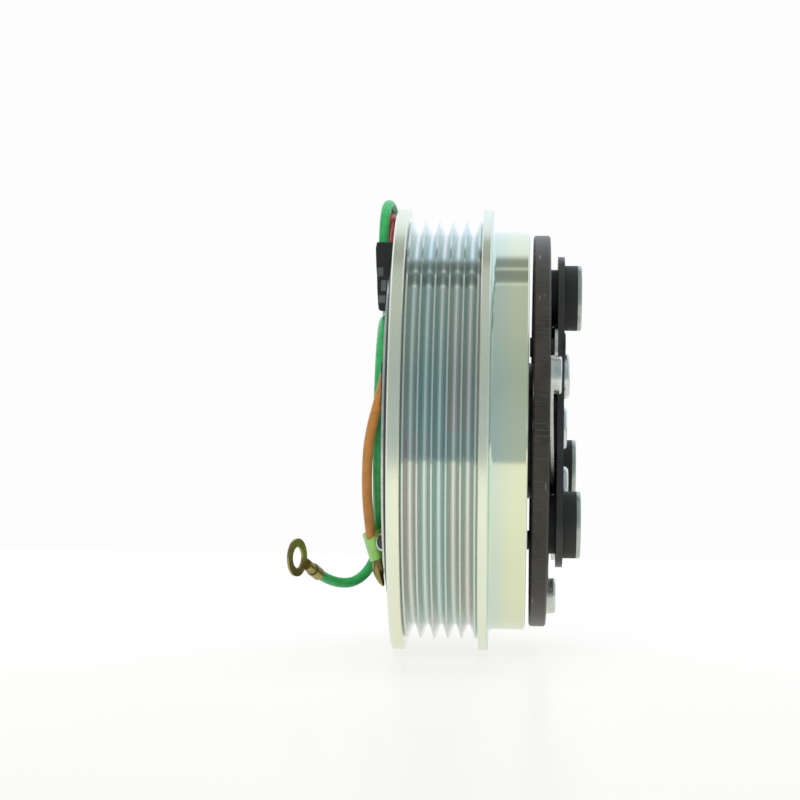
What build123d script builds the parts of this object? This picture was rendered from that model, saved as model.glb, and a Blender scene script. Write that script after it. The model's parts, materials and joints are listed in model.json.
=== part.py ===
"""Electromagnetic clutch of a belt-driven refrigerant compressor, in millimetres.

+X runs along the shaft axis from the compressor towards the free front, +Z is up.
The origin is on the shaft axis, on the rear face of the coil's mounting plate.
A position round the axis is given by a radius and an angle: 0 degrees points to -Y,
90 degrees points up.
"""
import math
import os

from build123d import *

# ---------------------------------------------------------------- driving dimensions
AIR_GAP = 1.05                  # friction face to armature, coil switched off

# rotor and pulley
PULLEY_R = 58.0                 # guard flanges
REAR_FLANGE_X = (2.0, 5.2)
FRONT_FLANGE_X = (24.5, 27.0)
RIM_EDGE = 0.4
RIB_PITCH = 3.56                # multi-rib belt, PK profile
RIB_COUNT = 6                   # crests, so five grooves
FIRST_CREST_X = 5.89
CREST_R = 55.0
GROOVE_ROOT_R = 51.4
CREST_HALF = 0.2
ROOT_HALF = 0.28
RELIEF_R = 54.4                 # small relief between a flange and the nearest rib
RELIEF_GAP = 0.12
DRUM_R = 52.4
SHOULDER_R = 1.2                # hollow corner between the front flange and the drum
SHOULDER_STEPS = 6
FRICTION_X = 36.56
FRICTION_WALL = 5.0
ROTOR_OUTER_WALL_R = 47.0       # inside of the outer pole
ROTOR_INNER_POLE_R = 30.3       # outside of the inner pole, which holds the bearing
ROTOR_MOUTH_R = 28.0            # opening in front of the bearing
BEARING_LIP_R = 25.8
BEARING_LIP_X = 7.6
FIT_GAP = 0.02                  # running and sliding fits
SLOT_ROWS = ((45.6, 1.2, 6, 44.0), (36.2, 1.1, 4, 66.0))   # radius, half width, count, span

# bearing 35 x 55 x 20, two rows of balls
BEARING_BORE_R = 17.5
BEARING_OUTER_R = 27.5
BEARING_X = (9.0, 29.0)
BALL_R = 3.175
BALL_PITCH_R = 22.5
BALL_ROW_OFFSET = 4.3
BALLS_PER_ROW = 14
RACE_R = 3.24
INNER_LAND_R = 20.2
OUTER_LAND_R = 24.8
CAGE_R = (21.7, 23.3)
CAGE_OVER = 2.6                 # beyond the ball centres
CAGE_GAP = 0.06
SEAL_INSET = 0.4
SEAL_THICK = 0.9
SEAL_GAP = 0.1
SNAP_GROOVE_R = 28.9
SNAP_INNER_R = 26.2
SNAP_THICK = 1.5
SNAP_EAR_R = 2.2
SNAP_EAR_ANGLES = (-98.0, -82.0)
PLIER_HOLE_R = 0.9

# field coil
PLATE_THICK = 0.8
PLATE_R = 41.0
NOSE_SEAT_R = 26.05
HOUSING_R = (31.0, 46.0)
HOUSING_WALL = 3.0
HOUSING_BACK = 4.0
HOUSING_FRONT_X = 29.3
BOBBIN_WALL = 1.2
POTTING_THICK = 1.6
PLATE_RIVET_R = 37.0
DOME_RIVET_ANGLE = -128.1
BRACKET_RIVET_ANGLE = 90.0
RIVET_SHANK_R = 1.5
RIVET_DEEP = 3.0                # shank length inside the housing
DOME = (3.05, 2.3, 1.6)         # ball radius, head radius, head height
EYELET_CENTRE = (-0.5, -22.8, -28.8)
EYELET_NORMAL = (-0.77, -0.63, 0.0)
EYELET_R = (1.8, 2.3)
EYELET_DEEP = 0.7               # depth of its cup
PLUG_GAP = 0.15                 # from the plug's face to the rim of the cup
EYELET_ANGLE = -51.9
DOWEL_R = 2.1
DOWEL_POLAR = (34.5, 205.0)     # radius, angle
DOWEL_DEEP = 3.0

# hub and armature
SHAFT_BORE_R = 6.0
KEY_WIDTH = 3.0
KEY_DEEP = 1.4
HUB_R = 17.9
HUB_REAR_X = 32.2
HUB_LOBE_R = 3.6
HUB_LOBE_X = 37.9
BOLT_RECESS_R = 9.0
BOLT_RECESS_DEEP = 3.2
ARMATURE_THICK = 4.33
ARMATURE_R = (24.0, 51.45)
BANANA_ROW = (40.6, 0.9, 3, 52.0)   # flux slots in the armature: radius, half width, count, span
DAMPER_GAP = 2.05
DAMPER_THICK = 1.7
DAMPER_LOBE_R = 10.8
BUMPER_POLAR_R = 35.5
BUMPER_ANGLES = (78.6, -41.4, 198.6)
BUMPER_R = 8.5
BUMPER_NECK_R = 5.6
BUMPER_FOOT_R = 7.4
BUMPER_STANDING = 3.45
BUMPER_CLEAR = 0.05
CAP_THICK = 1.05
CAP_EDGE = 0.5
CAP_STEM_R = 2.2
LEAF_THICK = 0.8
LEAF_WIDTH = 10.0
LEAF_FLAT = 7.0
LEAF_CLEAR = 0.5                # the strip is waisted this far from the rubber feet
ARM_RIVET_POLAR_R = 45.0
ARM_RIVET_ANGLES = (18.6, 138.6, 258.6)
ARM_RIVET_HEAD = (4.75, 2.0, 0.7)        # radius, height, rounding
ARM_RIVET_SHANK_R = 2.4
SPRING_RIVET_POLAR_R = 29.7
SPRING_RIVET_ANGLES = (-73.3, 46.7, 166.7)
SPRING_RIVET_SHANK_R = 2.5
SPRING_RIVET_HEAD = (3.7, 0.3, 0.2)
SPRING_RIVET_TAIL_X = 36.85
SPRING_RIVET_ROOM_R = 3.3       # hole that the tail passes through in the armature
HUB_RIVET_POLAR_R = 17.0
HUB_RIVET_ANGLES = (58.0, -62.0, 178.0)
HUB_RIVET_HEAD = (5.9, 1.65, 1.2)
HUB_RIVET_SHANK_R = 2.4
HUB_RIVET_DEEP = 4.5

# leads: (x, y, z) of each route's points
LEAD_D = 2.6                    # green, orange and ground leads
GREEN_ROUTE = ((-1.95, -3.0, 44.1), (-1.95, -3.0, 53.0), (-1.55, 3.7, 59.9), (-0.4, 13.3, 59.9),
               (0.2, 20.0, 53.0), (-1.05, 20.8, 42.0), (-1.85, 19.0, 33.5), (-1.45, 12.5, 29.0),
               (-1.38, 1.5, 28.8), (-1.33, -10.5, 27.9), (-1.33, -21.5, 21.0), (-1.33, -28.6, 9.0),
               (-1.33, -30.0, -5.0), (-1.4, -24.5, -18.0), (-1.7, -12.9, -27.2))
RED_D = 2.2
RED_ROUTE = ((-1.9, 3.0, 45.2), (-1.6, 3.0, 52.7), (-0.8, 6.9, 56.6), (0.2, 12.3, 56.6),
             (0.4, 16.2, 52.7), (-1.7, 15.5, 42.0))
ORANGE_ROUTE = ((0.9, -33.5, 15.5), (-0.75, -34.0, 8.6), (-3.5, -33.6, -2.0), (-4.05, -30.8, -13.0),
                (-3.8, -25.2, -21.8), (-3.2, -18.4, -29.0))
GROUND_ROUTE = ((-1.7, -11.7, -29.0), (-2.2, -9.6, -32.5), (-4.6, -9.6, -37.4), (-8.2, -13.0, -40.1),
                (-12.3, -17.0, -39.8), (-15.89, -20.94, -37.9), (-17.83, -25.34, -35.93))

# connector on its bracket: outline of the housing as (x, z), then what is cut into it
CONNECTOR_OUTLINE = ((-3.54, 49.0), (-3.84, 47.4), (-3.64, 42.7), (-3.42, 40.1), (-3.29, 36.4),
                     (-3.06, 33.0), (-2.85, 31.3), (-0.8, 31.3), (-0.8, 39.1), (-0.03, 39.1),
                     (-0.03, 41.1), (0.45, 41.3), (0.6, 46.3), (0.95, 49.0))
CONNECTOR_Y = (-6.0, 6.0)
CONNECTOR_EDGE = 0.2
CAVITY_X = (-2.6, -1.3)
CAVITY_Z = (30.3, 41.0)         # open mating end
CAVITY_HALF_Y = 2.0
WAY_Y = (-3.0, 3.0)             # the two ways
BLADE = (0.5, 2.4, 9.0)         # thickness, width, length
LOCK_WEB = ((-2.9, -1.2), (-5.55, -5.25), (33.0, 42.5))
LOCK_PADS = (((-3.4, -1.8), (40.0, 42.5)), ((-2.35, -0.95), (36.2, 39.1)), ((-3.0, -1.1), (33.0, 35.1)))
LOCK_FACE_Y = -5.9
LOCK_RIB = (0.22, 0.5)          # width and pitch of the grip grooves in the top pad
BRACKET_THICK = 0.8
BRACKET_WIDTH = 8.0
BRACKET_Z = (31.3, 41.6)
BRACKET_CORNER = 2.0

# splice and ring terminal
SLEEVE_TOP = ((-3.2, -16.0, -26.3), 2.75, 5.4)      # centre, half widths along X and Y
SLEEVE_BOTTOM = ((-1.9, -15.4, -33.6), 1.85, 4.6)
SLEEVE_TILT = (-0.35, -0.02, 0.92)                   # the mouth leans to the rear and to the side
SLEEVE_WALL = 0.35
SLEEVE_MOUTH = 0.35                                 # share of the length that is hollow
CRIMP = (((-1.55, -17.0, -32.4), 1.4), ((-1.55, -17.0, -35.9), 1.42), ((-1.2, -16.8, -37.9), 1.2),
         ((-0.7, -16.5, -39.4), 0.85), ((-0.3, -16.3, -40.3), 0.45),
         ((-0.15, -16.2, -40.6), 0.15))             # centres and radii
RING_CENTRE = (-21.2, -33.0, -32.5)
RING_NORMAL = (-0.915, 0.403, 0.0)
RING_R = 4.8
RING_HOLE_R = 2.7
RING_THICK = 0.6
TONGUE_WIDTH = 3.0
BARREL_R = (1.32, 1.7)
LEAD_GRIP = 3.5                 # length of the barrel round the lead's insulation
WIRE_CRIMP_R = 1.4
WIRE_CRIMP_LENGTH = 3.6
GROMMET_Y = (-35.9, -31.1)
GROMMET_Z = (5.8, 17.0)
GROMMET_DEEP = 1.5
GROMMET_STANDING = 0.5
BOOT_Y = (13.2, 17.6)
BOOT_Z = (37.0, 43.4)
BOOT_THICK = 3.2

# ---------------------------------------------------------------- derived places
ARMATURE_X = (FRICTION_X + AIR_GAP, FRICTION_X + AIR_GAP + ARMATURE_THICK)
DAMPER_X = (ARMATURE_X[1] + DAMPER_GAP, ARMATURE_X[1] + DAMPER_GAP + DAMPER_THICK)
CAP_X = (DAMPER_X[1] + BUMPER_STANDING, DAMPER_X[1] + BUMPER_STANDING + CAP_THICK)
CHANNEL_FRONT_X = FRICTION_X - FRICTION_WALL
HOUSING_REAR_X = PLATE_THICK
BEARING_MID_X = sum(BEARING_X) / 2
WIND_R = (HOUSING_R[0] + HOUSING_WALL, HOUSING_R[1] - HOUSING_WALL)
WIND_X = (HOUSING_REAR_X + HOUSING_BACK, HOUSING_FRONT_X - POTTING_THICK)


# ---------------------------------------------------------------- helpers
def polar(x, radius, angle):
    """A point at a radius and an angle round the shaft axis."""
    turn = math.radians(angle)
    return Vector(x, -radius * math.cos(turn), radius * math.sin(turn))


def turned(outline):
    """Solid of revolution about the X axis from (x, radius) points."""
    face = make_face(Polyline([(x, r, 0) for x, r in outline], close=True))
    return revolve(face, axis=Axis.X)


def rod(x0, x1, radius, centre=(0.0, 0.0)):
    """Cylinder along X between two stations, centred at (y, z)."""
    base = Plane(origin=(x0, centre[0], centre[1]), z_dir=(1, 0, 0))
    return extrude(base * Circle(radius), amount=x1 - x0)


def rod_at(x0, x1, radius, polar_r, angle):
    """Cylinder along X at a polar place."""
    place = polar(0, polar_r, angle)
    return rod(x0, x1, radius, (place.Y, place.Z))


def tube(x0, x1, inner, outer):
    """Plain ring along X."""
    return rod(x0, x1, outer) - rod(x0 - 1, x1 + 1, inner)


def block(xs, ys, zs):
    """Box between pairs of limits."""
    box = Box(xs[1] - xs[0], ys[1] - ys[0], zs[1] - zs[0])
    return Pos(sum(xs) / 2, sum(ys) / 2, sum(zs) / 2) * box


def headed(base, head, shank_from, shank_r, polar_r, angles):
    """Rivets along X: heads of (radius, height, rounding) on a face at base, shanks behind it."""
    radius, height, rounding = head
    top = rod(base, base + height, radius)
    top = fillet(top.faces().sort_by(Axis.X)[-1].edges(), rounding)
    whole = top + rod(shank_from, base, shank_r)
    places = [polar(0, polar_r, angle) for angle in angles]
    return Compound(children=[Pos(place) * whole for place in places])


def arc_slot(x0, x1, row, index):
    """One slot that follows a circle round the axis, with round ends."""
    radius, half, count, span = row
    middle = 360.0 * index / count
    start, end = middle - span / 2, middle + span / 2
    far = 3 * radius
    wedge = make_face(Polyline([(x0, 0, 0), tuple(polar(x0, far, start)), tuple(polar(x0, far, middle)),
                                tuple(polar(x0, far, end))], close=True))
    sector = extrude(wedge, amount=x1 - x0, dir=(1, 0, 0))
    slot = tube(x0, x1, radius - half, radius + half) & sector
    return slot + rod_at(x0, x1, half, radius, start) + rod_at(x0, x1, half, radius, end)


def corner_radius(before, corner, after):
    """Bend radius at a route's corner, as large as its two runs allow."""
    to_before, to_after = before - corner, after - corner
    half_turn = math.radians(180.0 - to_before.get_angle(to_after)) / 2
    return 0.45 * min(to_before.length, to_after.length) / math.tan(half_turn)


def lead(name, route, diameter):
    """Round lead along straight runs joined by tangent arcs."""
    points = [Vector(*p) for p in route]
    radii = [corner_radius(*points[i - 1:i + 2]) for i in range(1, len(points) - 1)]
    path = FilletPolyline(points, radius=radii)
    section = Plane(origin=path @ 0, z_dir=path % 0) * Circle(diameter / 2)
    solid = sweep(section, path=path)
    swept = math.pi * diameter ** 2 / 4 * path.length
    print(f"{name}: length {path.length:.2f}, volume ratio {solid.volume / swept:.4f}, "
          f"radii {[round(r, 1) for r in radii]}")
    return solid


# ---------------------------------------------------------------- rotor
def groove_outline():
    """Ribbed belt face from the rear flange to the front flange."""
    outline = [(REAR_FLANGE_X[1] + RELIEF_GAP, RELIEF_R)]
    for i in range(RIB_COUNT):
        crest = FIRST_CREST_X + i * RIB_PITCH
        if i:
            root = crest - RIB_PITCH / 2
            outline += [(root - ROOT_HALF, GROOVE_ROOT_R), (root + ROOT_HALF, GROOVE_ROOT_R)]
        outline += [(crest - CREST_HALF, CREST_R), (crest + CREST_HALF, CREST_R)]
    outline.append((FRONT_FLANGE_X[0] - RELIEF_GAP, RELIEF_R))
    return outline


def shoulder_outline():
    """Hollow corner from the front flange's face to the drum."""
    x_mid, r_mid = FRONT_FLANGE_X[1] + SHOULDER_R, DRUM_R + SHOULDER_R
    turns = [math.pi / 2 * i / SHOULDER_STEPS for i in range(SHOULDER_STEPS + 1)]
    return [(x_mid - SHOULDER_R * math.cos(t), r_mid - SHOULDER_R * math.sin(t)) for t in turns]


def rotor_pulley():
    """Belt pulley, both poles and the slotted friction wall in one steel piece."""
    edge = RIM_EDGE
    snap_front = BEARING_X[1] + SNAP_THICK + 0.1
    outline = [
        (REAR_FLANGE_X[0], ROTOR_OUTER_WALL_R), (REAR_FLANGE_X[0], PULLEY_R - edge),
        (REAR_FLANGE_X[0] + edge, PULLEY_R), (REAR_FLANGE_X[1] - edge / 2, PULLEY_R),
        (REAR_FLANGE_X[1], PULLEY_R - edge / 2)]
    outline += groove_outline()
    outline += [
        (FRONT_FLANGE_X[0], PULLEY_R - edge / 2), (FRONT_FLANGE_X[0] + edge / 2, PULLEY_R),
        (FRONT_FLANGE_X[1] - edge, PULLEY_R), (FRONT_FLANGE_X[1], PULLEY_R - edge)]
    outline += shoulder_outline()
    outline += [
        (FRICTION_X - edge, DRUM_R), (FRICTION_X, DRUM_R - edge),
        (FRICTION_X, ROTOR_MOUTH_R), (snap_front, ROTOR_MOUTH_R),
        (snap_front, SNAP_GROOVE_R), (BEARING_X[1], SNAP_GROOVE_R),
        (BEARING_X[1], BEARING_OUTER_R), (BEARING_X[0], BEARING_OUTER_R),
        (BEARING_X[0], BEARING_LIP_R), (BEARING_LIP_X, BEARING_LIP_R),
        (BEARING_LIP_X, ROTOR_INNER_POLE_R), (CHANNEL_FRONT_X, ROTOR_INNER_POLE_R),
        (CHANNEL_FRONT_X, ROTOR_OUTER_WALL_R)]
    solid = turned(outline)
    for row in SLOT_ROWS:
        for index in range(row[2]):
            solid -= arc_slot(CHANNEL_FRONT_X - 0.5, FRICTION_X + 0.5, row, index)
    return solid


# ---------------------------------------------------------------- bearing
def race_cut():
    """Both ball tracks as two tori."""
    rows = [BEARING_MID_X - BALL_ROW_OFFSET, BEARING_MID_X + BALL_ROW_OFFSET]
    return [revolve(Pos(x, BALL_PITCH_R, 0) * Circle(RACE_R), axis=Axis.X) for x in rows]


def bearing_inner_ring():
    ring = tube(*BEARING_X, BEARING_BORE_R, INNER_LAND_R)
    for track in race_cut():
        ring -= track
    return ring


def bearing_outer_ring():
    ring = tube(*BEARING_X, OUTER_LAND_R, BEARING_OUTER_R)
    for track in race_cut():
        ring -= track
    return ring


def ball_centres():
    """Centres of both rows, the second row half a pitch round from the first."""
    step = 360.0 / BALLS_PER_ROW
    rear = [polar(BEARING_MID_X - BALL_ROW_OFFSET, BALL_PITCH_R, i * step)
            for i in range(BALLS_PER_ROW)]
    front = [polar(BEARING_MID_X + BALL_ROW_OFFSET, BALL_PITCH_R, (i + 0.5) * step)
             for i in range(BALLS_PER_ROW)]
    return rear + front


def bearing_balls():
    return Compound(children=[Pos(c) * Sphere(BALL_R) for c in ball_centres()])


def bearing_cage():
    half = BALL_ROW_OFFSET + CAGE_OVER
    cage = tube(BEARING_MID_X - half, BEARING_MID_X + half, *CAGE_R)
    for centre in ball_centres():
        cage -= Pos(centre) * Sphere(BALL_R + CAGE_GAP)
    return cage


def bearing_seals():
    rear = tube(BEARING_X[0] + SEAL_INSET, BEARING_X[0] + SEAL_INSET + SEAL_THICK,
                INNER_LAND_R + SEAL_GAP, OUTER_LAND_R)
    front = tube(BEARING_X[1] - SEAL_INSET - SEAL_THICK, BEARING_X[1] - SEAL_INSET,
                 INNER_LAND_R + SEAL_GAP, OUTER_LAND_R)
    return Compound(children=[rear, front])


def bearing_snap_ring():
    """Open spring ring in front of the bearing, with two eyes for the pliers."""
    x0, x1 = BEARING_X[1] + FIT_GAP, BEARING_X[1] + SNAP_THICK
    ring = tube(x0, x1, SNAP_INNER_R, SNAP_GROOVE_R - 0.05)
    ear_polar_r = SNAP_INNER_R - 0.3
    for angle in SNAP_EAR_ANGLES:
        ring += rod_at(x0, x1, SNAP_EAR_R, ear_polar_r, angle)
    ring -= block((x0 - 1, x1 + 1), (-2.0, 2.0), (-SNAP_GROOVE_R - 1, -15.0))
    for angle in SNAP_EAR_ANGLES:
        ring -= rod_at(x0 - 1, x1 + 1, PLIER_HOLE_R, ear_polar_r, angle)
    return ring


# ---------------------------------------------------------------- field coil
def grommet_pocket():
    return block((-2.0, HOUSING_REAR_X + GROMMET_DEEP), GROMMET_Y, GROMMET_Z)


def plate_rivet_holes(x0, x1):
    angles = (DOME_RIVET_ANGLE, EYELET_ANGLE, BRACKET_RIVET_ANGLE)
    return [rod_at(x0, x1, RIVET_SHANK_R, PLATE_RIVET_R, angle) for angle in angles]


def coil_mounting_plate():
    """Flat ring that seats on the compressor and carries the coil."""
    plate = tube(0, PLATE_THICK, NOSE_SEAT_R, PLATE_R)
    plate -= grommet_pocket()
    plate -= rod_at(-1, PLATE_THICK + 1, DOWEL_R, *DOWEL_POLAR)
    for hole in plate_rivet_holes(-1, PLATE_THICK + 1):
        plate -= hole
    return plate


def coil_housing():
    """Steel channel that is open to the front."""
    rear, back = HOUSING_REAR_X, HOUSING_REAR_X + HOUSING_BACK
    inner, outer = HOUSING_R
    edge = 0.5
    body = turned([
        (rear, inner), (rear, outer - edge), (rear + edge, outer), (HOUSING_FRONT_X, outer),
        (HOUSING_FRONT_X, outer - HOUSING_WALL), (back, outer - HOUSING_WALL),
        (back, inner + HOUSING_WALL), (HOUSING_FRONT_X, inner + HOUSING_WALL),
        (HOUSING_FRONT_X, inner)])
    body -= grommet_pocket()
    body -= rod_at(rear - 1, rear + DOWEL_DEEP, DOWEL_R, *DOWEL_POLAR)
    for hole in plate_rivet_holes(rear - 1, rear + RIVET_DEEP):
        body -= hole
    return body


def coil_bobbin():
    """Plastic spool: a rear cheek, a front cheek and the core wall."""
    x0, x1 = WIND_X
    r0, r1 = WIND_R
    return turned([
        (x0, r0), (x0, r1), (x0 + BOBBIN_WALL, r1), (x0 + BOBBIN_WALL, r0 + BOBBIN_WALL),
        (x1 - BOBBIN_WALL, r0 + BOBBIN_WALL), (x1 - BOBBIN_WALL, r1), (x1, r1), (x1, r0)])


def coil_winding():
    return tube(WIND_X[0] + BOBBIN_WALL, WIND_X[1] - BOBBIN_WALL,
                WIND_R[0] + BOBBIN_WALL, WIND_R[1] - 0.3)


def coil_potting():
    """Resin ring that closes the channel in front of the spool."""
    return tube(WIND_X[1], HOUSING_FRONT_X - 0.2, *WIND_R)


def plate_rivets():
    """A domed rivet, and one with a flat end under the connector's bracket."""
    deep = HOUSING_REAR_X + RIVET_DEEP
    ball_r, head_r, height = DOME
    place = polar(0, PLATE_RIVET_R, DOME_RIVET_ANGLE)
    dome = (Pos(ball_r - height, 0, 0) * Sphere(ball_r)) & rod(-height, 0, head_r)
    domed = Pos(0, place.Y, place.Z) * (dome + rod(0, deep, RIVET_SHANK_R))
    flat = rod_at(-BRACKET_THICK, deep, RIVET_SHANK_R, PLATE_RIVET_R, BRACKET_RIVET_ANGLE)
    return Compound(children=[domed, flat])


def eyelet_bar(radius, back, front=0.0):
    """Bar along the eyelet's leaning axis, from the rim of its cup, cut off at the plate's rear face."""
    rim = Plane(origin=EYELET_CENTRE, z_dir=EYELET_NORMAL)
    bar = extrude(rim.offset(-back) * Circle(radius), amount=back + front)
    reach = 4 * EYELET_R[1]
    _, y, z = EYELET_CENTRE
    return bar & block((-reach, 0), (y - reach, y + reach), (z - reach, z + reach))


def plate_eyelet():
    """Cupped rivet whose head leans to the side of the plate."""
    head = eyelet_bar(EYELET_R[1], 4 * EYELET_R[1]) - eyelet_bar(EYELET_R[0], EYELET_DEEP, 1.0)
    return head + rod_at(0, HOUSING_REAR_X + RIVET_DEEP, RIVET_SHANK_R, PLATE_RIVET_R, EYELET_ANGLE)


def eyelet_plug():
    """Dark plug at the bottom of the cup."""
    return eyelet_bar(EYELET_R[0], EYELET_DEEP, -PLUG_GAP)


def lead_grommet(orange):
    """Rubber insert through the plate where the coil's orange end comes out."""
    body = block((-GROMMET_STANDING, HOUSING_REAR_X + GROMMET_DEEP), GROMMET_Y, GROMMET_Z)
    body = fillet(body.faces().sort_by(Axis.X)[0].edges(), 0.4)
    return body - orange


def lead_boot(red):
    """Moulded boot on the plate's top edge where the coil's red end comes out."""
    boot = block((-BOOT_THICK, 0), BOOT_Y, BOOT_Z)
    boot = fillet(boot.edges().filter_by(Axis.Z), 0.9)
    return boot - red


# ---------------------------------------------------------------- connector
def bracket_blank():
    half = BRACKET_WIDTH / 2
    strap = block((-BRACKET_THICK, 0), (-half, half), BRACKET_Z)
    return fillet(strap.edges().filter_by(Axis.X), BRACKET_CORNER)


def connector_bracket():
    """Thin steel strap between the plate and the connector."""
    return bracket_blank() - rod_at(-5, 5, RIVET_SHANK_R, PLATE_RIVET_R, BRACKET_RIVET_ANGLE)


def connector_lock():
    """Terminal lock let into the housing's near side: a web with three pads, the top one ribbed."""
    lock = block(*LOCK_WEB)
    for xs, zs in LOCK_PADS:
        lock += block(xs, (LOCK_FACE_Y, LOCK_WEB[1][1]), zs)
    (x0, x1), zs = LOCK_PADS[0]
    width, pitch = LOCK_RIB
    for i in range(int((x1 - x0) / pitch)):
        x = x0 + (i + 0.5) * pitch
        lock -= block((x - width / 2, x + width / 2), (LOCK_FACE_Y - 1, LOCK_FACE_Y + 0.2),
                      (zs[0] - 1, zs[1] + 1))
    return lock


def connector_housing(*inside):
    """Flat two-way plug housing: leads enter at the top, it mates at the bottom."""
    side = make_face(Polyline([(x, CONNECTOR_Y[0], z) for x, z in CONNECTOR_OUTLINE], close=True))
    body = extrude(side, amount=CONNECTOR_Y[1] - CONNECTOR_Y[0], dir=(0, 1, 0))
    rear_edges = body.edges().filter_by(Axis.Y).sort_by(Axis.X)[:2]
    body = fillet(rear_edges, CONNECTOR_EDGE)
    for mid in WAY_Y:
        body -= block(CAVITY_X, (mid - CAVITY_HALF_Y, mid + CAVITY_HALF_Y), CAVITY_Z)
    for xs, zs in LOCK_PADS:
        body -= block(xs, (CONNECTOR_Y[0] - 1, LOCK_WEB[1][1]), zs)
    body -= bracket_blank()
    for piece in inside:
        body -= piece
    return body


def connector_blades():
    """Two flat contacts inside the housing, one for each lead."""
    x_mid = sum(CAVITY_X) / 2
    thick, width, length = BLADE
    blades = []
    for mid in WAY_Y:
        blades.append(block((x_mid - thick / 2, x_mid + thick / 2), (mid - width / 2, mid + width / 2),
                            (CAVITY_Z[1] - length, CAVITY_Z[1])))
    return Compound(children=blades)


# ---------------------------------------------------------------- splice and terminal
def splice_crimp():
    """Closed-end crimp, bullet shaped, whose tip sticks out below the sleeve."""
    return loft([Plane(origin=centre, z_dir=(0, 0, -1)) * Circle(radius) for centre, radius in CRIMP])


def sleeve_section(share, thinner=0.0):
    """Oval section of the sleeve: share is 0 at the bottom and 1 at the mouth."""
    low, high = Vector(*SLEEVE_BOTTOM[0]), Vector(*SLEEVE_TOP[0])
    half_x, half_y = [a + share * (b - a) - thinner for a, b in zip(SLEEVE_BOTTOM[1:], SLEEVE_TOP[1:])]
    across = Vector(SLEEVE_TILT[2], 0, -SLEEVE_TILT[0])
    plane = Plane(origin=low + (high - low) * share, x_dir=across, z_dir=SLEEVE_TILT)
    return plane * Ellipse(half_x, half_y)


def splice_sleeve(*inside):
    """Shrunk sleeve over the crimp, oval where the leads lie side by side, with a flared mouth."""
    sleeve = loft([sleeve_section(0), sleeve_section(1)])
    sleeve -= loft([sleeve_section(1 - SLEEVE_MOUTH, SLEEVE_WALL), sleeve_section(1.1, SLEEVE_WALL)])
    for piece in inside:
        sleeve -= piece
    return sleeve


def ring_terminal():
    """Flat eye with a crimp barrel, on the end of the ground lead."""
    centre, end = Vector(*RING_CENTRE), Vector(*GROUND_ROUTE[-1])
    flat = Plane(origin=centre, x_dir=(centre - end).normalized(), z_dir=RING_NORMAL)
    reach = (centre - end).length
    eye = extrude(flat * Circle(RING_R), amount=RING_THICK / 2, both=True)
    tongue = flat * Pos(-reach / 2 - 1.0, 0) * Rectangle(reach, TONGUE_WIDTH)
    eye += extrude(tongue, amount=RING_THICK / 2, both=True)
    mouth = Plane(origin=end - flat.x_dir * LEAD_GRIP, z_dir=flat.x_dir)
    grip = extrude(mouth * Circle(BARREL_R[1]), amount=LEAD_GRIP)
    wire_crimp = extrude(mouth.offset(LEAD_GRIP) * Circle(WIRE_CRIMP_R), amount=WIRE_CRIMP_LENGTH)
    bore = extrude(mouth * Circle(BARREL_R[0]), amount=LEAD_GRIP)
    hole = extrude(flat * Circle(RING_HOLE_R), amount=2.0, both=True)
    return eye + grip + wire_crimp - bore - hole


# ---------------------------------------------------------------- hub and armature
def hub():
    """Shaft hub with a keyed bore, three riveting lobes and a recess for the shaft bolt."""
    body = turned([
        (HUB_REAR_X, 0), (HUB_REAR_X, HUB_R - 1.0), (HUB_REAR_X + 1.0, HUB_R),
        (DAMPER_X[0], HUB_R), (DAMPER_X[0], 0)])
    for angle in HUB_RIVET_ANGLES:
        body += rod_at(HUB_LOBE_X, DAMPER_X[0], HUB_LOBE_R, HUB_RIVET_POLAR_R, angle)
    body -= rod(HUB_REAR_X - 1, DAMPER_X[0] + 1, SHAFT_BORE_R)
    body -= block((HUB_REAR_X - 1, DAMPER_X[0] + 1), (-KEY_WIDTH / 2, KEY_WIDTH / 2),
                  (0, SHAFT_BORE_R + KEY_DEEP))
    body -= rod(DAMPER_X[0] - BOLT_RECESS_DEEP, DAMPER_X[0] + 1, BOLT_RECESS_R)
    for angle in HUB_RIVET_ANGLES:
        body -= rod_at(DAMPER_X[0] - HUB_RIVET_DEEP, DAMPER_X[0] + 1, HUB_RIVET_SHANK_R,
                       HUB_RIVET_POLAR_R, angle)
    return body


def armature_plate():
    """Steel disc that the coil pulls against the friction face."""
    inner, outer = ARMATURE_R
    x0, x1 = ARMATURE_X
    edge = 0.45
    disc = turned([(x0, inner), (x0, outer - edge), (x0 + edge, outer), (x1 - edge, outer),
                   (x1, outer - edge), (x1, inner)])
    for index in range(BANANA_ROW[2]):
        disc -= arc_slot(x0 - 0.5, x1 + 0.5, BANANA_ROW, index)
    for angle in ARM_RIVET_ANGLES:
        disc -= rod_at(x0 - 1, x1 + 1, ARM_RIVET_SHANK_R, ARM_RIVET_POLAR_R, angle)
    for angle in SPRING_RIVET_ANGLES:
        disc -= rod_at(x0 - 1, x1 + 1, SPRING_RIVET_ROOM_R, SPRING_RIVET_POLAR_R, angle)
    return disc


def armature_rivets():
    """Rivets that hold the outer ends of the leaf springs on the armature."""
    return headed(ARMATURE_X[1] + LEAF_THICK, ARM_RIVET_HEAD, ARMATURE_X[0] + 0.3,
                  ARM_RIVET_SHANK_R, ARM_RIVET_POLAR_R, ARM_RIVET_ANGLES)


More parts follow.
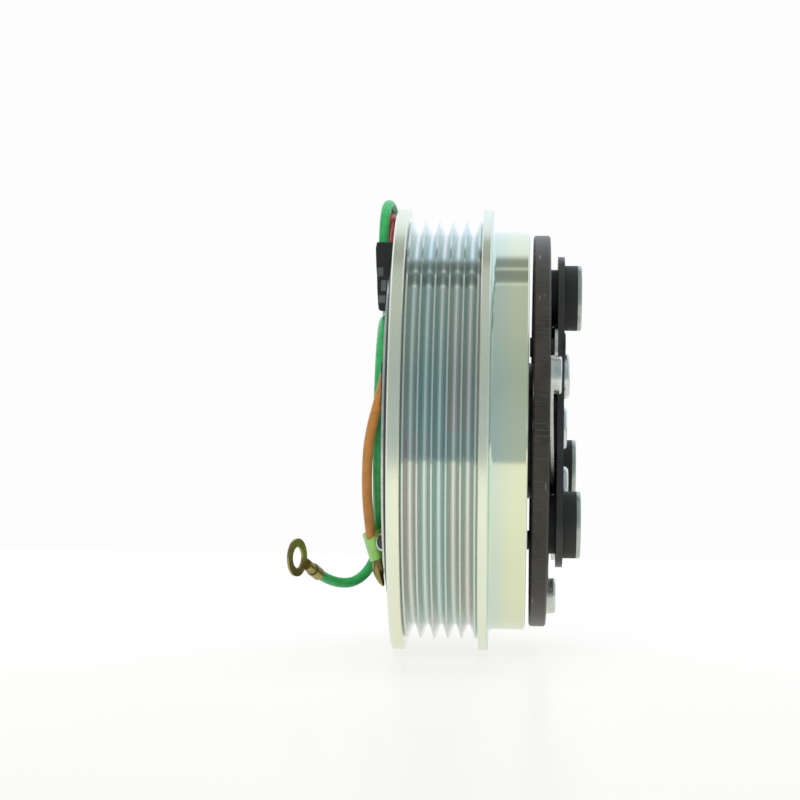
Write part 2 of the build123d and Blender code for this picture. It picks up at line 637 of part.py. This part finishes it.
def leaf_spring(outer_angle, inner_angle):
    """Thin strip from an armature rivet up to a rivet on the damper plate."""
    start = polar(0, ARM_RIVET_POLAR_R, outer_angle)
    end = polar(0, SPRING_RIVET_POLAR_R, inner_angle)
    along = end - start
    low, high = ARMATURE_X[1], DAMPER_X[0] - LEAF_THICK
    side = Plane(origin=start, x_dir=along, z_dir=along.cross(Vector(1, 0, 0)))
    reach, over, t = along.length, LEAF_WIDTH / 2, LEAF_THICK
    lower = [(-over, low), (LEAF_FLAT, low), (reach - LEAF_FLAT, high), (reach + over, high)]
    rise = side.y_dir.X
    outline = lower + [(u, x + t) for u, x in reversed(lower)]
    profile = make_face(side * Polyline([(u, x * rise) for u, x in outline], close=True))
    strip = extrude(profile, amount=LEAF_WIDTH / 2, both=True)
    flat = Plane(origin=(low - 1, start.Y, start.Z), x_dir=along, z_dir=(1, 0, 0))
    slot = flat * Pos(reach / 2, 0) * SlotCenterToCenter(reach, LEAF_WIDTH)
    strip = strip & extrude(slot, amount=DAMPER_X[1] - low + 2)
    for angle in BUMPER_ANGLES:
        strip -= rod_at(low - 2, DAMPER_X[1], BUMPER_FOOT_R + LEAF_CLEAR, BUMPER_POLAR_R, angle)
    strip -= rod(low - 2, DAMPER_X[1], ARM_RIVET_SHANK_R + FIT_GAP, (start.Y, start.Z))
    return strip - rod(low - 2, DAMPER_X[1], SPRING_RIVET_SHANK_R + FIT_GAP, (end.Y, end.Z))


def leaf_springs():
    ends = zip(ARM_RIVET_ANGLES, SPRING_RIVET_ANGLES)
    return Compound(children=[leaf_spring(outer, inner) for outer, inner in ends])


def damper_plate():
    """Triangular plate that joins hub, bumpers and leaf springs."""
    x0, x1 = DAMPER_X
    centres = [polar(x0, BUMPER_POLAR_R, a) for a in BUMPER_ANGLES]
    core = extrude(make_face(Polyline([tuple(c) for c in centres], close=True)),
                   amount=x1 - x0, dir=(1, 0, 0))
    plate = core
    for i, start in enumerate(centres):
        end = centres[(i + 1) % 3]
        flat = Plane(origin=start, x_dir=end - start, z_dir=(1, 0, 0))
        reach = (end - start).length
        side = flat * Pos(reach / 2, 0) * SlotCenterToCenter(reach, 2 * DAMPER_LOBE_R)
        plate += extrude(side, amount=x1 - x0)
    plate -= rod(x0 - 1, x1 + 1, BOLT_RECESS_R)
    for angle in BUMPER_ANGLES:
        plate -= rod_at(x0 - 1, x1 + 1, BUMPER_NECK_R, BUMPER_POLAR_R, angle)
    for angle in HUB_RIVET_ANGLES:
        plate -= rod_at(x0 - 1, x1 + 1, HUB_RIVET_SHANK_R, HUB_RIVET_POLAR_R, angle)
    for angle in SPRING_RIVET_ANGLES:
        plate -= rod_at(x0 - 1, x1 + 1, SPRING_RIVET_SHANK_R, SPRING_RIVET_POLAR_R, angle)
    return plate


def hub_rivets():
    """Large round-headed rivets that hold the damper plate on the hub."""
    return headed(DAMPER_X[1], HUB_RIVET_HEAD, DAMPER_X[0] - HUB_RIVET_DEEP,
                  HUB_RIVET_SHANK_R, HUB_RIVET_POLAR_R, HUB_RIVET_ANGLES)


def spring_rivets():
    """Rivets that hold the leaf springs' inner ends under the damper plate."""
    return headed(DAMPER_X[1], SPRING_RIVET_HEAD, SPRING_RIVET_TAIL_X,
                  SPRING_RIVET_SHANK_R, SPRING_RIVET_POLAR_R, SPRING_RIVET_ANGLES)


def rubber_bumpers():
    """Rubber stops: a foot under the plate, a neck through it and a disc above it."""
    bumpers = []
    for angle in BUMPER_ANGLES:
        foot = rod_at(ARMATURE_X[1] + BUMPER_CLEAR, DAMPER_X[0], BUMPER_FOOT_R, BUMPER_POLAR_R, angle)
        neck = rod_at(DAMPER_X[0], DAMPER_X[1], BUMPER_NECK_R, BUMPER_POLAR_R, angle)
        disc = rod_at(DAMPER_X[1], CAP_X[0], BUMPER_R, BUMPER_POLAR_R, angle)
        core = rod_at(DAMPER_X[0], CAP_X[0] + 1, CAP_STEM_R, BUMPER_POLAR_R, angle)
        bumpers.append(foot + neck + disc - core)
    return Compound(children=bumpers)


def bumper_caps():
    """Metal caps on the bumpers, each with a stem moulded into the rubber."""
    return headed(CAP_X[0], (BUMPER_R, CAP_THICK, CAP_EDGE), DAMPER_X[0],
                  CAP_STEM_R, BUMPER_POLAR_R, BUMPER_ANGLES)


# ---------------------------------------------------------------- build
def build():
    """Every sub-part by its node name."""
    green = lead("green_lead", GREEN_ROUTE, LEAD_D)
    red = lead("red_lead", RED_ROUTE, RED_D)
    orange = lead("orange_lead", ORANGE_ROUTE, LEAD_D)
    ground = lead("ground_lead", GROUND_ROUTE, LEAD_D)
    crimp = splice_crimp() - green - orange - ground
    lock = connector_lock()
    return {
        "rotor_pulley": rotor_pulley(),
        "bearing_inner_ring": bearing_inner_ring(),
        "bearing_outer_ring": bearing_outer_ring(),
        "bearing_balls": bearing_balls(),
        "bearing_cage": bearing_cage(),
        "bearing_seals": bearing_seals(),
        "bearing_snap_ring": bearing_snap_ring(),
        "coil_mounting_plate": coil_mounting_plate(),
        "coil_housing": coil_housing(),
        "coil_bobbin": coil_bobbin(),
        "coil_winding": coil_winding(),
        "coil_potting": coil_potting(),
        "plate_rivets": plate_rivets(),
        "plate_eyelet": plate_eyelet(),
        "eyelet_plug": eyelet_plug(),
        "lead_grommet": lead_grommet(orange),
        "lead_boot": lead_boot(red),
        "connector_bracket": connector_bracket(),
        "connector_housing": connector_housing(lock, green, red),
        "connector_lock": lock,
        "connector_blades": connector_blades(),
        "green_lead": green,
        "red_lead": red,
        "orange_lead": orange,
        "ground_lead": ground,
        "splice_sleeve": splice_sleeve(green, orange, ground, crimp),
        "splice_crimp": crimp,
        "ring_terminal": ring_terminal(),
        "hub": hub(),
        "hub_rivets": hub_rivets(),
        "damper_plate": damper_plate(),
        "rubber_bumpers": rubber_bumpers(),
        "bumper_caps": bumper_caps(),
        "leaf_springs": leaf_springs(),
        "spring_rivets": spring_rivets(),
        "armature_plate": armature_plate(),
        "armature_rivets": armature_rivets(),
    }


os.makedirs("parts", exist_ok=True)
for node, shape in build().items():
    export_step(shape, f"parts/{node}.step")
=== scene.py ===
"""Looks of an electromagnetic compressor clutch, built round its CAD parts.

Everything is in metres in the part's own frame: +X runs along the shaft axis towards the free
front, -Y faces the camera, +Z is up, and the shaft axis passes through the origin.
"""

import json
import math

import bpy
from mathutils import Matrix, Vector


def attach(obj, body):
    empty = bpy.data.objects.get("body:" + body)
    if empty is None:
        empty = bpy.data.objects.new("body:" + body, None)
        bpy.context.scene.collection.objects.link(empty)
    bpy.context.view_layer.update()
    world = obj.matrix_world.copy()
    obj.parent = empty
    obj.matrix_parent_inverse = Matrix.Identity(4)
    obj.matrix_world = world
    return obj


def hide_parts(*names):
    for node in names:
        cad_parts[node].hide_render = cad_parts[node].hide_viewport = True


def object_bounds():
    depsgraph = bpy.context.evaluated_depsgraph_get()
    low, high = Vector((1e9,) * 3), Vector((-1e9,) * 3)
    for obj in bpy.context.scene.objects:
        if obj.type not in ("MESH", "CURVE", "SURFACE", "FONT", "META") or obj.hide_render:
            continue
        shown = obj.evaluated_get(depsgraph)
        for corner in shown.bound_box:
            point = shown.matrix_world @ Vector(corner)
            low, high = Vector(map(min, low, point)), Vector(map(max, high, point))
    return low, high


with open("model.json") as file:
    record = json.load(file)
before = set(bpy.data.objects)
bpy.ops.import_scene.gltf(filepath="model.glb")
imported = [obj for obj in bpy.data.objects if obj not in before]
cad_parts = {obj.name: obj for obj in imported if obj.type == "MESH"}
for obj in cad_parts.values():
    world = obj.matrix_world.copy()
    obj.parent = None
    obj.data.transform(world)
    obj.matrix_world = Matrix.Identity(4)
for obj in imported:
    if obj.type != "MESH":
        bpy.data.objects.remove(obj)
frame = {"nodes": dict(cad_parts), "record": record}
cad_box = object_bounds()

# ---------------------------------------------------------------- camera
CAMERA_AT = (0.03329, -0.6907, 0.00763)
CAMERA_YAW = -0.0441            # radians, about +Z
CAMERA_ROLL = 0.0138            # radians, about the line of sight
CAMERA_LENS = 117.47            # millimetres, as is the sensor's width
CAMERA_SENSOR = 36.0


def make_camera():
    """The camera looks level along +Y, turned and rolled a little."""
    data = bpy.data.cameras.new("camera")
    data.lens = CAMERA_LENS
    data.sensor_width = CAMERA_SENSOR
    data.clip_start = 0.01
    data.clip_end = 20.0
    camera = bpy.data.objects.new("camera", data)
    bpy.context.scene.collection.objects.link(camera)
    forward = Vector((math.sin(CAMERA_YAW), math.cos(CAMERA_YAW), 0.0))
    level = Vector((math.cos(CAMERA_YAW), -math.sin(CAMERA_YAW), 0.0))
    up = level.cross(forward)
    right = level * math.cos(CAMERA_ROLL) + up * math.sin(CAMERA_ROLL)
    top = up * math.cos(CAMERA_ROLL) - level * math.sin(CAMERA_ROLL)
    turn = Matrix((right, top, -forward)).transposed().to_4x4()
    camera.matrix_world = Matrix.Translation(CAMERA_AT) @ turn
    bpy.context.scene.camera = camera


make_camera()

# ---------------------------------------------------------------- leads
LEAD_D = 0.0026
RED_D = 0.0022
GREEN_ROUTE = (
    (-0.00195, -0.003, 0.0441), (-0.00195, -0.003, 0.053), (-0.00155, 0.0037, 0.0599),
    (-0.0004, 0.0133, 0.0599), (0.0002, 0.02, 0.053), (-0.00105, 0.0208, 0.042),
    (-0.00185, 0.019, 0.0335), (-0.00145, 0.0125, 0.029), (-0.00138, 0.0015, 0.0288),
    (-0.00133, -0.0105, 0.0279), (-0.00133, -0.0215, 0.021), (-0.00133, -0.0286, 0.009),
    (-0.00133, -0.03, -0.005), (-0.0014, -0.0245, -0.018), (-0.0017, -0.0129, -0.0272),
)
RED_ROUTE = (
    (-0.0019, 0.003, 0.0452), (-0.0016, 0.003, 0.0527), (-0.0008, 0.0069, 0.0566),
    (0.0002, 0.0123, 0.0566), (0.0004, 0.0162, 0.0527), (-0.0017, 0.0155, 0.042),
)
ORANGE_ROUTE = (
    (0.0009, -0.0335, 0.0155), (-0.00075, -0.034, 0.0086), (-0.0035, -0.0336, -0.002),
    (-0.00405, -0.0308, -0.013), (-0.0038, -0.0252, -0.0218), (-0.0032, -0.0184, -0.029),
)
GROUND_ROUTE = (
    (-0.0017, -0.0117, -0.029), (-0.0022, -0.0096, -0.0325), (-0.0046, -0.0096, -0.0374),
    (-0.0082, -0.013, -0.0401), (-0.0123, -0.017, -0.0398),
    (-0.01589, -0.02094, -0.0379), (-0.01783, -0.02534, -0.03593),
)
TUBE_SIDES = 24
LINE_STEPS = 14                 # points of the line to each point of the route


def link(obj):
    bpy.context.scene.collection.objects.link(obj)
    return obj


def lead_line(route):
    """Points along one open NURBS spline that has the route as its control points."""
    data = bpy.data.curves.new("line", "CURVE")
    data.dimensions = "3D"
    data.resolution_u = LINE_STEPS
    spline = data.splines.new("NURBS")
    spline.points.add(len(route) - 1)
    for point, at in zip(spline.points, route):
        point.co = (*at, 1.0)
    spline.order_u = 3
    spline.use_endpoint_u = True
    holder = bpy.data.objects.new("line", data)
    mesh = bpy.data.meshes.new_from_object(holder)
    points = [vertex.co.copy() for vertex in mesh.vertices]
    bpy.data.objects.remove(holder)
    bpy.data.curves.remove(data)
    bpy.data.meshes.remove(mesh)
    return points


def mesh_piece(name, points, faces):
    mesh = bpy.data.meshes.new(name)
    mesh.from_pydata(points, [], faces)
    mesh.shade_smooth()
    return link(bpy.data.objects.new(name, mesh))


def tube_piece(name, line, radius):
    """A round tube along a line, closed at both ends."""
    points, faces = [], []
    side = Vector((1.0, 0.0, 0.0))
    for i, point in enumerate(line):
        along = (line[min(i + 1, len(line) - 1)] - line[max(i - 1, 0)]).normalized()
        side = (side - along * side.dot(along)).normalized()
        across = along.cross(side)
        for k in range(TUBE_SIDES):
            turn = math.tau * k / TUBE_SIDES
            points.append(point + (side * math.cos(turn) + across * math.sin(turn)) * radius)
    for i in range(len(line) - 1):
        for k in range(TUBE_SIDES):
            a, b = i * TUBE_SIDES + k, i * TUBE_SIDES + (k + 1) % TUBE_SIDES
            faces.append((a, b, b + TUBE_SIDES, a + TUBE_SIDES))
    faces.append(tuple(reversed(range(TUBE_SIDES))))
    faces.append(tuple(range(len(points) - TUBE_SIDES, len(points))))
    return mesh_piece(name, points, faces)


LEADS = (
    # piece, CAD node, slot, route, diameter, length, far end, pieces on it
    ("lead_green", "green_lead", "green_insulation", GREEN_ROUTE, LEAD_D, 0.1550, "object", ()),
    ("lead_red", "red_lead", "red_insulation", RED_ROUTE, RED_D, 0.0339, "object", ()),
    ("lead_orange", "orange_lead", "orange_insulation", ORANGE_ROUTE, LEAD_D, 0.0496, "object", ()),
    ("lead_ground", "ground_lead", "green_insulation", GROUND_ROUTE, LEAD_D, 0.0312, "fitting",
     ("ring_terminal",)),
)
leads = {}
for name, node, slot, route, diameter, length, far_end, on_it in LEADS:
    line = lead_line(route)
    lead = tube_piece(name, line, diameter / 2)
    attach(lead, "coil_assembly")
    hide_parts(node)
    leads[lead] = slot


# ---------------------------------------------------------------- material helpers
class Paint:
    """One material and short calls for the nodes in it."""

    def __init__(self, name):
        self.material = bpy.data.materials.new(name)
        self.material.use_nodes = True
        self.tree = self.material.node_tree
        self.shader = self.tree.nodes["Principled BSDF"]
        self.place = self.node("ShaderNodeTexCoord").outputs["Object"]

    def node(self, kind, **settings):
        made = self.tree.nodes.new(kind)
        for key, value in settings.items():
            setattr(made, key, value)
        return made

    def join(self, value, socket):
        """Sets a socket, from another node's output or to a plain value."""
        if isinstance(value, bpy.types.NodeSocket):
            self.tree.links.new(value, socket)
        else:
            socket.default_value = value

    def math(self, operation, a, b=0.0, c=0.0):
        made = self.node("ShaderNodeMath", operation=operation)
        self.join(a, made.inputs[0])
        self.join(b, made.inputs[1])
        self.join(c, made.inputs[2])
        return made.outputs[0]

    def noise(self, scale, detail=2.0, roughness=0.5, vector=None):
        made = self.node("ShaderNodeTexNoise")
        self.join(self.place if vector is None else vector, made.inputs["Vector"])
        made.inputs["Scale"].default_value = scale
        made.inputs["Detail"].default_value = detail
        made.inputs["Roughness"].default_value = roughness
        return made.outputs["Fac"]

    def ramp(self, factor, *stops):
        """stops are (position, value), where a value is a grey or a colour."""
        made = self.node("ShaderNodeValToRGB")
        self.join(factor, made.inputs[0])
        ramp = made.color_ramp
        while len(ramp.elements) < len(stops):
            ramp.elements.new(1.0)
        for element, (position, value) in zip(ramp.elements, stops):
            element.position = position
            colour = (value,) * 3 if isinstance(value, float) else value
            element.color = (*colour, 1.0)
        return made.outputs["Color"]

    def mix(self, factor, a, b):
        made = self.node("ShaderNodeMix", data_type="RGBA")
        self.join(factor, made.inputs[0])
        for value, socket in ((a, made.inputs[6]), (b, made.inputs[7])):
            self.join((*value, 1.0) if isinstance(value, tuple) else value, socket)
        return made.outputs[2]

    def span(self, value, low, high):
        """0 at low, 1 at high, smooth between them."""
        made = self.node("ShaderNodeMapRange", interpolation_type="SMOOTHSTEP")
        self.join(value, made.inputs["Value"])
        made.inputs["From Min"].default_value = low
        made.inputs["From Max"].default_value = high
        return made.outputs["Result"]

    def axes(self, vector=None):
        made = self.node("ShaderNodeSeparateXYZ")
        self.join(self.place if vector is None else vector, made.inputs[0])
        return made.outputs[0], made.outputs[1], made.outputs[2]

    def vector(self, x, y, z):
        made = self.node("ShaderNodeCombineXYZ")
        for value, socket in zip((x, y, z), made.inputs):
            self.join(value, socket)
        return made.outputs[0]

    def turned(self):
        """(distance along the shaft, radius, angle) of a point, for turned parts."""
        x, y, z = self.axes()
        radius = self.math("SQRT", self.math("ADD", self.math("MULTIPLY", y, y),
                                             self.math("MULTIPLY", z, z)))
        return x, radius, self.math("ARCTAN2", z, y)

    def bump(self, height, distance, strength=1.0, under=None):
        made = self.node("ShaderNodeBump")
        self.join(height, made.inputs["Height"])
        made.inputs["Distance"].default_value = distance
        made.inputs["Strength"].default_value = strength
        if under is not None:
            self.join(under, made.inputs["Normal"])
        return made.outputs["Normal"]

    def finish(self, colour, roughness, normal=None, **sockets):
        self.join(colour if isinstance(colour, bpy.types.NodeSocket) else (*colour, 1.0),
                  self.shader.inputs["Base Color"])
        self.join(roughness, self.shader.inputs["Roughness"])
        if normal is not None:
            self.join(normal, self.shader.inputs["Normal"])
        for key, value in sockets.items():
            self.shader.inputs[key.replace("_", " ")].default_value = value
        return self.material


def lathe_marks(paint, pitch, turns=0.4):
    """A height for the fine rings that a lathe tool leaves round the shaft axis."""
    x, radius, angle = paint.turned()
    along = paint.math("MULTIPLY", x, 1 / pitch)
    across = paint.math("MULTIPLY", radius, 1 / pitch)
    return paint.noise(1.0, 3.0, 0.6, paint.vector(along, across, paint.math("MULTIPLY", angle, turns)))


# ---------------------------------------------------------------- materials
RIM_R = (0.0553, 0.0560)        # the colour changes here from the grooves to the guard flanges
FLANGE_END_X = (0.0266, 0.0268)
DRUM_TINT_X = (0.0268, 0.0340)  # the drum turns yellower over this length
FRICTION_FACE_X = (0.0363, 0.0365)


def rotor_zinc():
    """Bright zinc with a passivate film: cream rims, blue-green grooves, fine turned rings. The
    grooves' blue-green is the film's own tint with a painted reflection of the bright back wall on top.
    """
    paint = Paint("rotor_zinc")
    x, radius, angle = paint.turned()
    film = paint.noise(1.0, 2.0, 0.5, paint.vector(
        paint.math("MULTIPLY", x, 420.0), paint.math("MULTIPLY", radius, 420.0),
        paint.math("MULTIPLY", angle, 0.5)))
    # painted reflection: the blue-green of the grooves stands in for the bright back wall seen in the
    # film at grazing angles, over the film's own tint
    groove_tint_and_reflection = paint.ramp(film, (0.30, (0.62, 0.75, 0.74)), (0.50, (0.72, 0.79, 0.74)),
                        (0.70, (0.77, 0.75, 0.72)))
    drum = paint.ramp(paint.span(x, *DRUM_TINT_X), (0.0, (0.68, 0.80, 0.68)),
                      (1.0, (0.82, 0.86, 0.60)))
    rim = paint.ramp(film, (0.30, (0.86, 0.93, 0.76)), (0.70, (0.92, 0.92, 0.70)))
    outer = paint.mix(paint.span(radius, *RIM_R), groove_tint_and_reflection, rim)
    zinc = paint.mix(paint.span(x, *FLANGE_END_X), outer, drum)
    face = paint.mix(paint.span(x, *FRICTION_FACE_X), zinc, (0.46, 0.45, 0.42))
    rings = lathe_marks(paint, 0.00022)
    grain = paint.noise(9000.0, 2.0)
    fine = paint.ramp(rings, (0.25, 0.07), (0.75, 0.14))
    dull = paint.ramp(rings, (0.25, 0.20), (0.75, 0.34))
    rough = paint.mix(paint.span(radius, *RIM_R), fine, dull)
    normal = paint.bump(rings, 0.000003, 0.5, paint.bump(grain, 0.000001, 0.5))
    return paint.finish(face, rough, normal, Metallic=1.0)


def dark_steel(name, shade, rough_low, rough_high, coat):
    """Black oxide or electrocoat on steel, a little worn and dusty."""
    paint = Paint(name)
    cloud = paint.noise(180.0, 4.0, 0.6)
    fine = paint.noise(5200.0, 3.0, 0.55)
    low, high = tuple(c * 0.75 for c in shade), tuple(c * 1.3 for c in shade)
    colour = paint.ramp(cloud, (0.3, low), (0.7, high))
    rough = paint.ramp(paint.noise(900.0, 3.0), (0.3, rough_low), (0.7, rough_high))
    return paint.finish(colour, rough, paint.bump(fine, 0.00002, 0.5), Coat_Weight=coat)


def armature_steel():
    """Dark phosphated steel with shear streaks across the rim and light scuffs."""
    paint = Paint("armature_steel")
    x, radius, angle = paint.turned()
    streak = paint.noise(1.0, 3.0, 0.6, paint.vector(
        paint.math("MULTIPLY", x, 150.0), paint.math("MULTIPLY", radius, 600.0),
        paint.math("MULTIPLY", angle, 90.0)))
    cloud = paint.noise(140.0, 4.0, 0.6)
    colour = paint.ramp(cloud, (0.3, (0.024, 0.020, 0.015)), (0.7, (0.048, 0.041, 0.030)))
    colour = paint.mix(paint.span(streak, 0.52, 0.66), colour, (0.058, 0.053, 0.042))
    scuff = paint.span(paint.noise(1.0, 2.0, 0.5, paint.vector(
        paint.math("MULTIPLY", x, 1500.0), paint.math("MULTIPLY", radius, 1500.0),
        paint.math("MULTIPLY", angle, 8.0))), 0.69, 0.75)
    colour = paint.mix(scuff, colour, (0.22, 0.21, 0.18))
    rough = paint.ramp(streak, (0.3, 0.30), (0.7, 0.46))
    normal = paint.bump(streak, 0.00006, 0.8, paint.bump(lathe_marks(paint, 0.0003), 0.00001, 0.5))
    return paint.finish(colour, rough, normal, Metallic=0.25)


def plated(name, low, high, rough_low=0.24, rough_high=0.38):
    """Zinc plate on a pressing or a rivet: pale, slightly cloudy metal."""
    paint = Paint(name)
    colour = paint.ramp(paint.noise(260.0, 4.0, 0.6), (0.3, low), (0.7, high))
    rough = paint.ramp(paint.noise(1400.0, 3.0), (0.3, rough_low), (0.7, rough_high))
    return paint.finish(colour, rough, paint.bump(paint.noise(4200.0, 3.0), 0.00001, 0.5), Metallic=1.0)


def rubber(name, shade, grain=0.00003):
    """Moulded rubber: matt, with a fine skin and a little bloom."""
    paint = Paint(name)
    bloom = paint.noise(320.0, 4.0, 0.65)
    colour = paint.ramp(bloom, (0.35, shade), (0.75, tuple(c * 1.9 for c in shade)))
    skin = paint.noise(3600.0, 3.0, 0.6)
    return paint.finish(colour, paint.ramp(bloom, (0.3, 0.50), (0.7, 0.68)),
                        paint.bump(skin, grain, 0.6))


def plastic(name, shade, rough_low=0.28, rough_high=0.42, grain=0.000015, **more):
    """Moulded or extruded plastic with a faint flow texture."""
    paint = Paint(name)
    flow = paint.noise(500.0, 3.0, 0.5)
    low, high = tuple(c * 0.85 for c in shade), tuple(min(1.0, c * 1.12) for c in shade)
    colour = paint.ramp(flow, (0.3, low), (0.7, high))
    rough = paint.ramp(paint.noise(1500.0, 2.0), (0.3, rough_low), (0.7, rough_high))
    return paint.finish(colour, rough, paint.bump(paint.noise(2600.0, 2.0), grain, 0.5), **more)


def copper_wire():
    """Enamelled wire: rings of winding round the shaft axis."""
    paint = Paint("copper_wire")
    x, radius, angle = paint.turned()
    wave = paint.node("ShaderNodeTexWave", wave_type="BANDS", bands_direction="X")
    paint.join(paint.vector(paint.math("MULTIPLY", x, 1.0), 0.0, 0.0), wave.inputs["Vector"])
    wave.inputs["Scale"].default_value = 300.0
    colour = paint.ramp(wave.outputs["Fac"], (0.1, (0.20, 0.05, 0.02)), (0.8, (0.62, 0.24, 0.10)))
    return paint.finish(colour, 0.3, paint.bump(wave.outputs["Fac"], 0.0002, 1.0), Metallic=0.9)


MATERIALS = {
    "rotor_zinc": rotor_zinc(),
    "armature_steel": armature_steel(),
    "black_steel": dark_steel("black_steel", (0.020, 0.020, 0.019), 0.28, 0.42, 0.15),
    "zinc_steel": plated("zinc_steel", (0.72, 0.74, 0.68), (0.84, 0.85, 0.78)),
    "cap_steel": plated("cap_steel", (0.40, 0.45, 0.40), (0.50, 0.54, 0.48)),
    "rivet_steel": plated("rivet_steel", (0.56, 0.60, 0.56), (0.74, 0.78, 0.72), 0.2, 0.34),
    "bearing_steel": plated("bearing_steel", (0.50, 0.50, 0.50), (0.60, 0.60, 0.60), 0.12, 0.2),
    "seal_rubber": rubber("seal_rubber", (0.030, 0.022, 0.016)),
    "bumper_rubber": rubber("bumper_rubber", (0.011, 0.011, 0.010)),
    "lock_plastic": plastic("lock_plastic", (0.11, 0.125, 0.125), 0.35, 0.5),
    "black_plastic": plastic("black_plastic", (0.016, 0.014, 0.013), 0.3, 0.5),
    "bobbin_plastic": plastic("bobbin_plastic", (0.55, 0.50, 0.40)),
    "potting_resin": plastic("potting_resin", (0.030, 0.035, 0.040), 0.15, 0.3),
    "copper_wire": copper_wire(),
    "green_insulation": plastic("green_insulation", (0.035, 0.38, 0.10), 0.25, 0.38),
    "orange_insulation": plastic("orange_insulation", (0.54, 0.22, 0.04), 0.28, 0.42),
    "red_insulation": plastic("red_insulation", (0.42, 0.03, 0.03), 0.28, 0.42),
    "sleeve_plastic": plastic("sleeve_plastic", (0.30, 0.62, 0.14), 0.24, 0.36, 0.000004),
    "terminal_brass": plated("terminal_brass", (0.28, 0.22, 0.08), (0.42, 0.34, 0.13), 0.24, 0.34),
}


def dress(obj, slot):
    obj.data.materials.clear()
    obj.data.materials.append(MATERIALS[slot])


for subpart in frame["record"]["subparts"]:
    dress(frame["nodes"][subpart["node"]], subpart["material_slot"])
for lead, slot in leads.items():
    dress(lead, slot)

# ---------------------------------------------------------------- floor and light
FLOOR_Z = cad_box[0].z
TABLE_Y = (-0.21, 0.41)         # the table's front and back edges
APRON_Y = (-0.5, -0.21)         # pale floor in front of it, which the metal doesn't mirror
FLOOR_HALF_X = 0.6


def floor_material():
    """Pale lit table: a sheet that glows softly from below."""
    paint = Paint("floor_paint")
    tone = paint.noise(6.0, 2.0)
    colour = paint.ramp(tone, (0.3, (0.12, 0.12, 0.117)), (0.7, (0.135, 0.135, 0.132)))
    paint.shader.inputs["Emission Color"].default_value = (1.0, 0.995, 0.96, 1.0)
    return paint.finish(colour, 0.22, IOR=1.02, Emission_Strength=0.75)


def make_floor(name, depth, material):
    mesh = bpy.data.meshes.new(name)
    front, back = depth
    left, right = -FLOOR_HALF_X, FLOOR_HALF_X
    corners = ((left, front), (right, front), (right, back), (left, back))
    mesh.from_pydata([(x, y, FLOOR_Z) for x, y in corners], [], [(0, 1, 2, 3)])
    floor = link(bpy.data.objects.new(name, mesh))
    mesh.materials.append(material)
    return floor


SKY = (
    # degrees over the front horizon towards the back, colour
    (0.0, (0.44, 0.50, 0.55)), (30.0, (0.40, 0.46, 0.50)), (60.0, (0.48, 0.53, 0.55)),
    (86.0, (0.52, 0.56, 0.58)), (91.0, (0.50, 0.54, 0.56)), (92.5, (0.95, 1.0, 1.0)),
    (94.0, (0.27, 0.30, 0.31)), (104.5, (0.26, 0.28, 0.29)), (106.0, (0.90, 0.95, 0.95)),
    (107.5, (0.27, 0.30, 0.31)), (115.0, (0.30, 0.33, 0.35)), (121.0, (0.86, 0.94, 1.10)),
    (150.0, (0.92, 1.0, 1.15)), (180.0, (1.0, 1.06, 1.15)),
)


BACKDROP = (0.982, 0.982, 0.982)


def make_world():
    """White to the camera; elsewhere a studio, dim in front, with a bright back wall."""
    world = bpy.data.worlds.new("studio")
    world.use_nodes = True
    bpy.context.scene.world = world
    tree = world.node_tree
    tree.nodes.clear()

    def node(kind, **settings):
        made = tree.nodes.new(kind)
        for key, value in settings.items():
            setattr(made, key, value)
        return made

    split = node("ShaderNodeSeparateXYZ")
    tree.links.new(node("ShaderNodeTexCoord").outputs["Generated"], split.inputs[0])
    front = node("ShaderNodeMath", operation="MULTIPLY")
    front.inputs[1].default_value = -1.0
    tree.links.new(split.outputs[1], front.inputs[0])
    angle = node("ShaderNodeMath", operation="ARCTAN2")
    tree.links.new(split.outputs[2], angle.inputs[0])
    tree.links.new(front.outputs[0], angle.inputs[1])
    part = node("ShaderNodeMath", operation="DIVIDE")
    tree.links.new(angle.outputs[0], part.inputs[0])
    part.inputs[1].default_value = math.pi
    ramp = node("ShaderNodeValToRGB")
    tree.links.new(part.outputs[0], ramp.inputs[0])
    while len(ramp.color_ramp.elements) < len(SKY):
        ramp.color_ramp.elements.new(1.0)
    for element, (degrees, colour) in zip(ramp.color_ramp.elements, SKY):
        element.position = degrees / 180.0
        element.color = (*colour, 1.0)
    studio = node("ShaderNodeBackground")
    tree.links.new(ramp.outputs[0], studio.inputs[0])
    white = node("ShaderNodeBackground")
    white.inputs[0].default_value = (*BACKDROP, 1.0)
    rays = node("ShaderNodeLightPath")
    mix = node("ShaderNodeMixShader")
    tree.links.new(rays.outputs["Is Camera Ray"], mix.inputs[0])
    tree.links.new(studio.outputs[0], mix.inputs[1])
    tree.links.new(white.outputs[0], mix.inputs[2])
    tree.links.new(mix.outputs[0], node("ShaderNodeOutputWorld").inputs[0])


AREA_LIGHTS = (
    # name, place, point aimed at, side, power
    ("light_top", (0.2, 0.35, 1.1), (0.02, 0.0, 0.0), 0.9, 10.0),
    ("light_front", (-0.15, -0.95, 0.9), (0.02, -0.1, 0.0), 0.7, 8.0),
)


def area_light(name, at, aim, size, power):
    """A soft light that the metal doesn't mirror."""
    data = bpy.data.lights.new(name, "AREA")
    data.shape = "SQUARE"
    data.size = size
    data.energy = power
    light = link(bpy.data.objects.new(name, data))
    light.visible_glossy = False
    light.location = at
    light.rotation_euler = (Vector(aim) - Vector(at)).to_track_quat("-Z", "Y").to_euler()


pale = floor_material()
make_floor("table", TABLE_Y, pale)
make_floor("apron", APRON_Y, pale).visible_glossy = False
make_world()
for light_row in AREA_LIGHTS:
    area_light(*light_row)
bpy.context.scene.view_settings.view_transform = "Standard"
